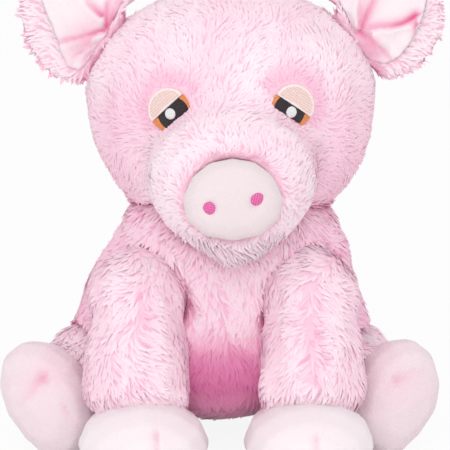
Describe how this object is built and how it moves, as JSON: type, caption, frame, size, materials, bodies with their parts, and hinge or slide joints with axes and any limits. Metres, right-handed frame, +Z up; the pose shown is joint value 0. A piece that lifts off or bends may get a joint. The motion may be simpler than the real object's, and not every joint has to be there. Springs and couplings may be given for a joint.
{
  "type": "plush pig",
  "caption": "Sitting plush pig with a large round head, cream snout and ear linings, embroidered eyes, soft stuffed legs that lift and ears that fold.",
  "frame": {"origin": "centre of the bounding box's bottom face, on the surface that the pig sits on", "axes": "+Z is up, the pig looks towards -Y, and +X is the pig's own left side, at the right of the picture"},
  "size_m": [0.2646, 0.2562, 0.2998],
  "materials": {
    "pink_plush": "long soft pile",
    "cream_velour": "short velour pile",
    "polyester_filling": "matte fibre",
    "peach_thread": "satin embroidery",
    "amber_thread": "satin embroidery",
    "black_thread": "satin embroidery",
    "white_thread": "satin embroidery",
    "magenta_thread": "satin embroidery"
  },
  "bodies": {
    "torso": {"torso_cover": "pink_plush", "torso_stuffing": "polyester_filling"},
    "head": {"head_cover": "pink_plush", "head_stuffing": "polyester_filling", "snout_cover": "cream_velour", "snout_stuffing": "polyester_filling", "left_nostril": "magenta_thread", "right_nostril": "magenta_thread", "left_eyelid": "peach_thread", "left_iris": "amber_thread", "left_pupil": "black_thread", "left_eye_highlight": "white_thread", "right_eyelid": "peach_thread", "right_iris": "amber_thread", "right_pupil": "black_thread", "right_eye_highlight": "white_thread"},
    "left_ear": {"left_ear_back": "pink_plush", "left_ear_lining": "cream_velour"},
    "right_ear": {"right_ear_back": "pink_plush", "right_ear_lining": "cream_velour"},
    "left_front_leg": {"left_front_leg_cover": "pink_plush", "left_front_foot_cover": "cream_velour", "left_front_leg_stuffing": "polyester_filling"},
    "right_front_leg": {"right_front_leg_cover": "pink_plush", "right_front_foot_cover": "cream_velour", "right_front_leg_stuffing": "polyester_filling"},
    "left_hind_leg": {"left_hind_leg_cover": "pink_plush", "left_hind_foot_cover": "cream_velour", "left_hind_leg_stuffing": "polyester_filling"},
    "right_hind_leg": {"right_hind_leg_cover": "pink_plush", "right_hind_foot_cover": "cream_velour", "right_hind_leg_stuffing": "polyester_filling"},
    "tail": {"tail": "pink_plush"}
  },
  "joints": [
    {"name": "head_turn", "type": "hinge", "parent": "torso", "child": "head", "pos_m": [0.00348, 0.00591, 0.166], "axis": [0, 0, 1], "range_deg": [-20, 20], "stiffness_Nm_per_rad": 0.2},
    {"name": "left_ear_fold", "type": "hinge", "parent": "head", "child": "left_ear", "pos_m": [0.08148, 0.00939, 0.25], "axis": [0.679, -0.0234, -0.7337], "range_deg": [-25, 30], "stiffness_Nm_per_rad": 0.02},
    {"name": "right_ear_fold", "type": "hinge", "parent": "head", "child": "right_ear", "pos_m": [-0.07041, 0.0147, 0.24788], "axis": [0.6583, -0.0234, 0.7524], "range_deg": [-25, 30], "stiffness_Nm_per_rad": 0.02},
    {"name": "left_front_leg_lift", "type": "hinge", "parent": "torso", "child": "left_front_leg", "pos_m": [0.05148, -0.04012, 0.1], "axis": [-1, 0, 0], "range_deg": [0, 45], "stiffness_Nm_per_rad": 0.1},
    {"name": "right_front_leg_lift", "type": "hinge", "parent": "torso", "child": "right_front_leg", "pos_m": [-0.05252, -0.04012, 0.1], "axis": [-1, 0, 0], "range_deg": [0, 45], "stiffness_Nm_per_rad": 0.1},
    {"name": "left_hind_leg_lift", "type": "hinge", "parent": "torso", "child": "left_hind_leg", "pos_m": [0.08048, 0.00391, 0.04], "axis": [-1, 0, 0], "range_deg": [0, 20], "stiffness_Nm_per_rad": 0.1},
    {"name": "right_hind_leg_lift", "type": "hinge", "parent": "torso", "child": "right_hind_leg", "pos_m": [-0.08152, 0.00391, 0.04], "axis": [-1, 0, 0], "range_deg": [0, 20], "stiffness_Nm_per_rad": 0.1},
    {"name": "tail_wag", "type": "hinge", "parent": "torso", "child": "tail", "pos_m": [-0.00052, 0.09591, 0.066], "axis": [0, 0, 1], "range_deg": [-40, 40], "stiffness_Nm_per_rad": 0.004}
  ]
}
